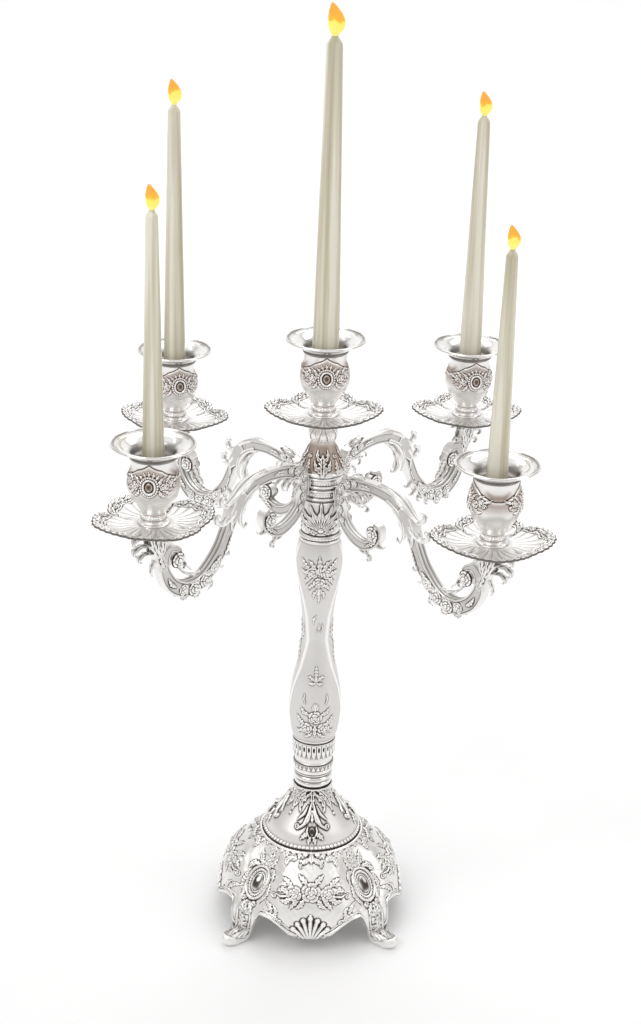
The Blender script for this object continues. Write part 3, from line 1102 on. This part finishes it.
# leaves flat against both sides: half width, offset from the middle, lobes, paths
SIDE_LEAVES = (
    (1.8, 4.4, 3, ((112, -28, 112, -34, 116, -40), (120, -36, 124, -38, 129, -38.5),
                   (121, -44, 120, -49, 124, -51.5), (133, -49, 133.5, -53, 138, -54),
                   (132, -41, 137, -41.5, 142, -41), (144, -50, 148, -52, 152, -50))),
    (2.1, 4.6, 3, ((28, 8, 32, 5, 34, 0), (30, 13, 36, 13.5, 42, 12), (44, 21, 50, 22, 56, 21.5))),
    (2.6, 4.4, 4, ((171, -12, 176, -4, 178, 4, 177, 10), (170, -12, 167, -4, 168, 4, 170, 10))))
SHEATH_TIPS = ((72, 18, 82, 13, 89, 5, 91, -5, 87.5, -13, 2.8), (88, 16, 96, 8, 100, -2, 99.5, -12, 2.4))
# roses on the low bend and over the root: offset from the middle, then x, z, size and turn of each
ROSES = ((4.4, ((117, -36.5, 5.0, 0.3), (126, -43.6, 6.0, 1.2), (137, -47.2, 6.2, 2.4),
                (147.6, -45, 4.8, 3.0))),
         (4.8, ((25, 13.5, 4.3, 0), (31.5, 19, 3.9, 1), (24, 4.5, 3.9, 2), (24.5, -4, 3.5, 3),
                (38.5, 21.5, 3.3, 4), (27, -12, 2.9, 5))))


def side_normals(line):
    d = np.gradient(line[:, :2], axis=0)
    d /= np.maximum(np.linalg.norm(d, axis=1, keepdims=True), 1e-9)
    return np.stack([-d[:, 1], d[:, 0]], 1)


def section(k):
    """Points round a rounded rectangle, with as many on each side as on top and bottom."""
    square = 0.22
    q = (np.arange(k) + 0.5) * 2 * np.pi / k
    c, s = np.cos(q), np.sin(q)
    size = (np.abs(c) ** (2 / square) + np.abs(s) ** (2 / square)) ** (square / 2)
    return c / size, s / size


def sweep(part, points, half_y, relief=None, channel=0.0, start=0.0, blunt=3.0):
    """A bar with flat sides along [distance, height, half width] points. relief draws on both sides;
    the outer face gets two grooves of the channel's depth past the start."""
    line = smooth(points, 10)
    line = resample(line, max(12, int(length_of(line) / 0.5)))
    n, k = len(line), 104
    arc = np.linspace(0, length_of(line), n)
    end = np.minimum(1, np.minimum(arc, arc[-1] - arc) / blunt)
    close = np.sqrt(np.clip(1 - (1 - end) ** 2, 0.0004, 1))[:, None]
    e, y = section(k)
    w = line[:, 2:] * close
    b = half_y * (0.35 + 0.65 * close)
    flat_e, flat_y = e[None] * w, y[None] * b
    on_side = np.broadcast_to(np.abs(y)[None] > np.abs(e)[None], flat_e.shape)
    field = Relief(np.repeat(arc[:, None], k, 1), flat_e)
    if relief is not None:
        relief(field, arc[-1])
    inset = w - np.abs(flat_e)
    h_side = field.h - 0.5 * ease(inset, 1.1, 1.6) * (field.h < 0.3)
    run = ease(arc, start, start + 14)[:, None] * (1 - ease(arc, arc[-1] - 18, arc[-1] - 6))[:, None]
    groove = bump(np.abs(flat_y) - 0.42 * b, 0.23 * b) * run * (e[None] > 0)
    out_y = np.where(on_side, np.sign(y)[None] * h_side * close, 0)
    out_e = np.where(on_side, 0, np.sign(e)[None] * (-channel * groove) * close)
    c = line[:, None, :2] + side_normals(line)[:, None] * (flat_e + out_e)[:, :, None]
    cav = np.where(on_side, cavity(h_side, 5, 3.2) + 0.335, groove * 0.7 * min(1.0, channel))
    part.grid(np.stack([c[:, :, 0], flat_y + out_y, c[:, :, 1]], 2), wrap_u=False, cav=cav * close)


def leaf3d(part, row, half, thick, cup, lobes, veins=0.35, side=None, offset=0.0):
    """A cast leaf along a path in the branch's plane. Its blade lies across the branch, or with side
    set to 1 or -1, flat against that side at the offset."""
    line = resample(smooth(pairs(row), 8), 40)
    n, k = len(line), 36
    normal = side_normals(line)
    t = np.linspace(0, 1, n)
    w = half * np.sin(np.pi * (0.14 + 0.82 * t) ** 0.9) ** 0.6
    w = w * (0.84 + 0.16 * np.cos(2 * np.pi * lobes * t + 0.5))
    w[-1] = w[0] = 0.15
    q = angles_round(k)
    across = np.cos(q)[None] * w[:, None]
    face = np.sign(np.sin(q)) * np.abs(np.sin(q)) ** 0.5
    u = np.cos(q)[None] * np.ones((n, 1))
    body = thick * (0.6 + 0.4 * np.sin(np.pi * t))[:, None]
    body[0] = body[-1] = 0.2
    vein = 0.5 - 0.5 * np.cos(2 * np.pi * (lobes * t[:, None] - np.abs(u)))
    groove = 0.6 * stripe(u, 0.2) + veins * vein
    up = body * face[None] * 0.5 * (1 - groove) + cup * half * u ** 2
    cav = np.clip(groove * 1.9 - 0.5, -0.5, 1)
    blade, rise = (up, across) if side is None else (across, side * (offset + up))
    c = line[:, None, :] + normal[:, None] * blade[:, :, None]
    part.grid(np.stack([c[:, :, 0], rise, c[:, :, 1]], 2), wrap_u=False, cav=cav, flip=side == -1)


def boss(part, x, z, r, high, side, offset, turn=0):
    """A rose with a closed back that stands on a side of the branch."""
    a = angles_round(48)
    rr = r * np.linspace(0.01, 1, 20)
    px, pz = rr[None] * np.cos(a)[:, None], rr[None] * np.sin(a)[:, None]
    f = Relief(px, pz)
    f.rose(0, 0, r, high, turn)
    p = np.stack([x + px, side * (offset - 0.7 + f.h), z + pz], 2)
    back = p[:, ::-3].copy()
    back[:, :, 1] = side * (offset - 0.9 - 0.4 * np.sqrt(np.clip(r * r - rr[None, ::-3] ** 2, 0, None)))
    cav = cavity(f.h, 6, 4.0) + 0.7 * ease(rr, 0.82 * r, r)[None]
    part.grid(np.hstack([p, back]), wrap_v=False, cav=np.hstack([cav, 0.3 + 0 * back[:, :, 0]]),
              flip=side > 0)


def s_relief(field, length):
    # acanthus sheath that ends in a point part of the way down
    w = np.abs(field.y)
    field.h += 0.8 * (ease(field.x, 60, 70) * (1 - ease(field.x + 1.6 * w, 90, 91.5)))
    for a in (99, 102, 105, 109):
        field.line([(a, -2.4), (a + 3, -3.6)], 0.5, 0.8)
    bend = 0.66 * length
    field.leaf([(bend - 12, 0), (bend - 20, 0.6), (bend - 28, 0)], 2.2, 1.3, lobes=5)
    field.leaf([(bend + 25, 0), (bend + 30, -0.6), (bend + 36, 0)], 1.9, 1.2, lobes=4)


def c_relief(field, length):
    field.leaf([(length - 16, 0), (length - 23, 0.4), (length - 30, 0)], 2.2, 1.4, lobes=4)
    field.leaf([(14, 1.5), (18, 0.6), (22, 1.2)], 1.2, 1.0, lobes=3)


def bracket_relief(field, length):
    field.leaf([(3, 0), (length * 0.45, 0.3), (length - 5, 0)], 3.0, 1.3, lobes=6)


def branch_part():
    part = Part()
    sweep(part, S_SCROLL, ARM_HALF, s_relief, channel=1.1, start=84)
    sweep(part, C_SCROLL, ARM_HALF - 0.5, c_relief, channel=0.9, start=6)
    sweep(part, BRACKET, ARM_HALF - 0.4, bracket_relief)
    sweep(part, ROOT, ARM_HALF + 0.4)
    sweep(part, ROOT_PLATE, 4.9, blunt=1.0)
    for x, z in EYES:
        sweep(part, [[x - 5, z - 1, 3.4], [x, z, 5.4], [x + 5, z + 1, 3.4]], 4.1)
    for *row, half, thick in SHOULDER_LEAVES:
        leaf3d(part, row, half, thick, cup=-0.10, lobes=2, veins=0.12)
    for *row, half, thick in EDGE_LEAVES:
        leaf3d(part, row, half, thick, cup=0.05, lobes=4)
    for side in (-1, 1):
        for *row, half in SHEATH_TIPS:
            leaf3d(part, row, half, 1.5, cup=0, lobes=2, veins=0.1, side=side, offset=4.5)
        for half, offset, lobes, rows in SIDE_LEAVES:
            for row in rows:
                leaf3d(part, row, half, 1.3, cup=0, lobes=lobes, side=side, offset=offset)
        for offset, roses in ROSES:
            for x, z, r, turn in roses:
                boss(part, x, z, r, 0.5 * r, side, offset, turn)
        for (x, z), offset in zip(EYES, (4.5, 4.1)):
            boss(part, x, z, 6.4, 3.6, side, offset)
    seat = revolved([[4.2, 3.5], [5.4, 8], [9.0, 11.3], [9.4, 12.4], [9.0, 13.9]], [[3, 13.9], [3, 3.5]],
                    lambda f: ring_of_beads(f, 10.5, 22, 0.8, 0.5), columns=120, step=0.35)
    part.raw(seat.points[0] + [REACH, 0, 0], seat.faces[0], seat.cav[0])
    return part


BRANCH = branch_part()
for i, name in enumerate(LIGHTS):
    if name in PAIR_OF:
        level = PAIR_OF[name]
        BRANCH.build("branch_" + name, SILVER, level + "_branches", math.radians(90 * i - 45),
                     (0, 0, HUB_Z[level]))


# ---- room, light and camera

def floor():
    """A pale sheet that lies flat under the object and rises far behind it."""
    paper = clouded("paper_floor", (0.93, 0.93, 0.935), (0.96, 0.96, 0.965), 6, 0.50, 0.65,
                    edges=(0.3, 0.7))
    line = smooth([[-5.0, 0.0], [-0.5, 0.0], [2.6, 0.0], [4.0, 0.08], [4.6, 0.6], [4.8, 1.6],
                   [4.8, 3.6]], 8)
    xs = np.linspace(-5.5, 5.5, 24)
    pts = np.stack([np.repeat(xs[:, None], len(line), 1), np.repeat(line[None, :, 0], len(xs), 0),
                    np.repeat(line[None, :, 1], len(xs), 0)], 2)
    mesh = bpy.data.meshes.new("Floor")
    faces = grid_faces(len(xs), len(line), False, False)
    mesh.from_pydata(pts.reshape(-1, 3).tolist(), [], faces.tolist())
    mesh.materials.append(paper)
    obj = bpy.data.objects.new("Floor", mesh)
    bpy.context.scene.collection.objects.link(obj)
    for poly in mesh.polygons:
        poly.use_smooth = True


def area_light(name, place, target, size, power):
    data = bpy.data.lights.new(name, "AREA")
    data.shape, data.size, data.size_y, data.energy = "RECTANGLE", *size, power
    obj = bpy.data.objects.new(name, data)
    obj.location = place
    obj.rotation_euler = (Vector(target) - Vector(place)).to_track_quat("-Z", "Y").to_euler()
    bpy.context.scene.collection.objects.link(obj)


def studio():
    """Bright above and below, with a darker warm band between for the silver to reflect."""
    world = bpy.data.worlds.new("Studio")
    bpy.context.scene.world = world
    world.use_nodes = True
    k = Nodes(world.node_tree)
    sky = world.node_tree.nodes["Background"]
    k.feed(sky.inputs["Color"], k.ramp(
        k.height(), (0.0, 0.9), (0.10, 0.87), (0.28, 0.60, 0.58, 0.56), (0.48, 0.50, 0.48, 0.46),
        (0.63, 0.78, 0.76, 0.74), (0.78, 0.95), (1.0, 0.98)))
    sky.inputs["Strength"].default_value = 0.98


def camera():
    """Stands 1.67 m from the object's foot, looks down and leans a little."""
    focal, down, roll, turn = 66.85, math.radians(22.85), math.radians(1.73), math.radians(-1.2)
    place = (-0.0002, -1.38013, 0.94286)
    level = np.array([1, 0, 0.0])
    rise = np.array([0, math.sin(down), math.cos(down)])
    ahead = np.array([0, math.cos(down), -math.sin(down)])
    right = math.cos(roll) * level + math.sin(roll) * rise
    up = -math.sin(roll) * level + math.cos(roll) * rise
    pose = [(right[k], up[k], -ahead[k], place[k]) for k in range(3)]
    data = bpy.data.cameras.new("Camera")
    data.lens, data.sensor_width, data.sensor_fit = focal, 36.0, "AUTO"
    data.clip_start, data.clip_end = 0.05, 30
    obj = bpy.data.objects.new("Camera", data)
    bpy.context.scene.collection.objects.link(obj)
    obj.matrix_world = Matrix.Rotation(turn, 4, "Z") @ Matrix((*pose, (0, 0, 0, 1)))
    bpy.context.scene.camera = obj


floor()
studio()
camera()
area_light("Key", (-1.6, -1.4, 2.2), (0, 0, 0.3), (1.8, 1.4), 17)
area_light("Fill", (1.9, -0.8, 1.4), (0, 0, 0.3), (1.0, 1.6), 6)
area_light("Back", (0.3, 1.6, 2.2), (0, 0, 0.4), (2.0, 0.8), 7)
area_light("Backdrop", (0, 2.0, 3.0), (0, 4.4, 0.5), (4.0, 0.8), 36)
bpy.context.scene.view_settings.view_transform = "Standard"

import json
